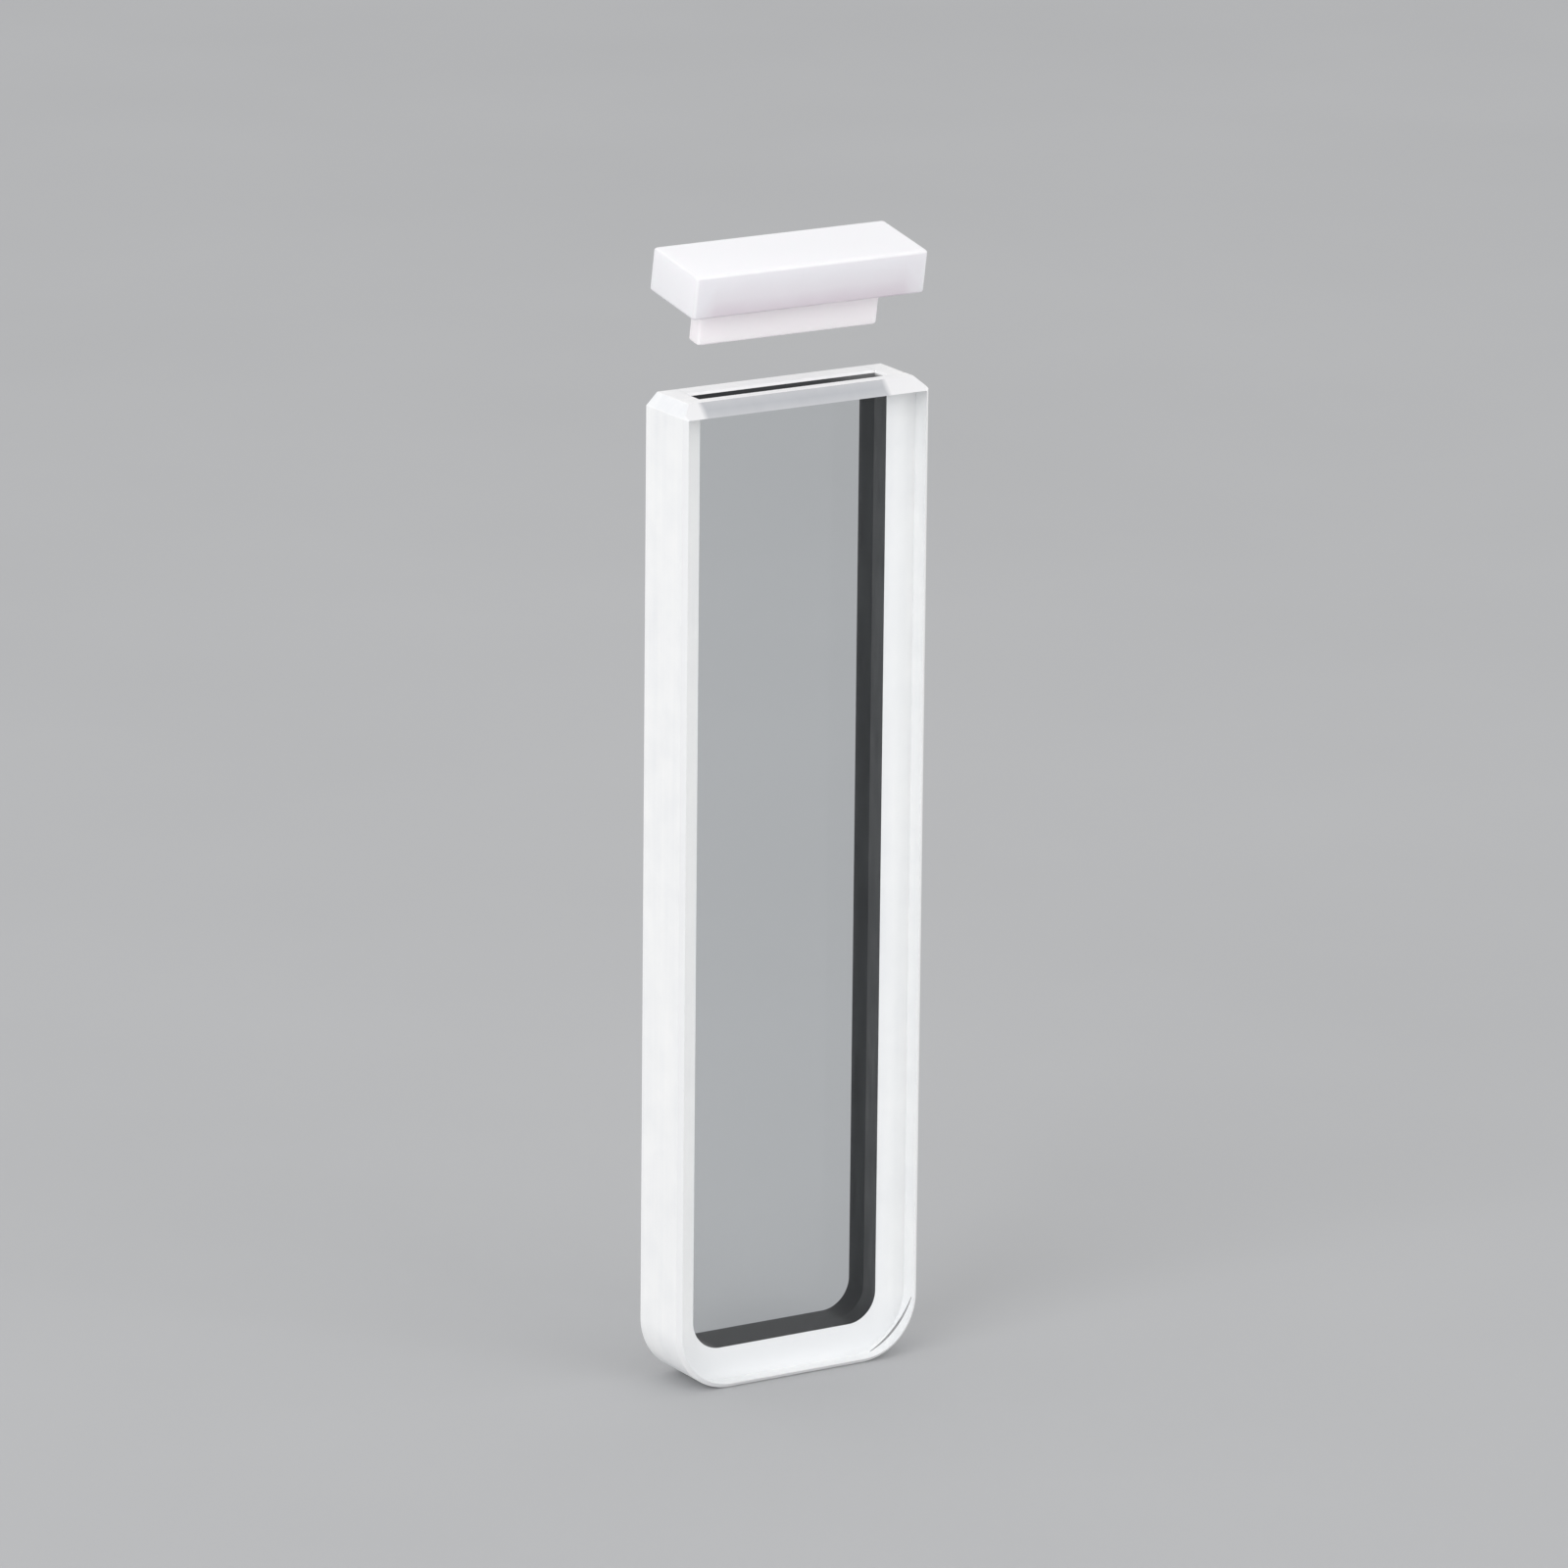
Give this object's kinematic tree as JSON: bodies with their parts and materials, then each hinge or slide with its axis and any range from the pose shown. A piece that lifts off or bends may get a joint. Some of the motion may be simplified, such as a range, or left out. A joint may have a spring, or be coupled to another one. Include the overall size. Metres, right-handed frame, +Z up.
{
  "type": "short-path cuvette",
  "caption": "Flat rectangular cuvette: clear windows fused to a frosted U-shaped frame round a narrow slot chamber, with a push-in lid shown lifted off.",
  "frame": {"origin": "middle of the base, on the surface that the cell stands on", "axes": "+Z up along the cell, front window facing -Y, width along X"},
  "size_m": [0.0126, 0.004, 0.0514],
  "materials": {
    "frosted_quartz": "fine ground, frosted white",
    "polished_quartz": "optically polished, clear, with ground edges",
    "lid_plastic": "satin, waxy white"
  },
  "bodies": {
    "root": {"frame": "frosted_quartz", "front_window": "polished_quartz", "back_window": "polished_quartz", "lid": "lid_plastic"}
  },
  "joints": []
}
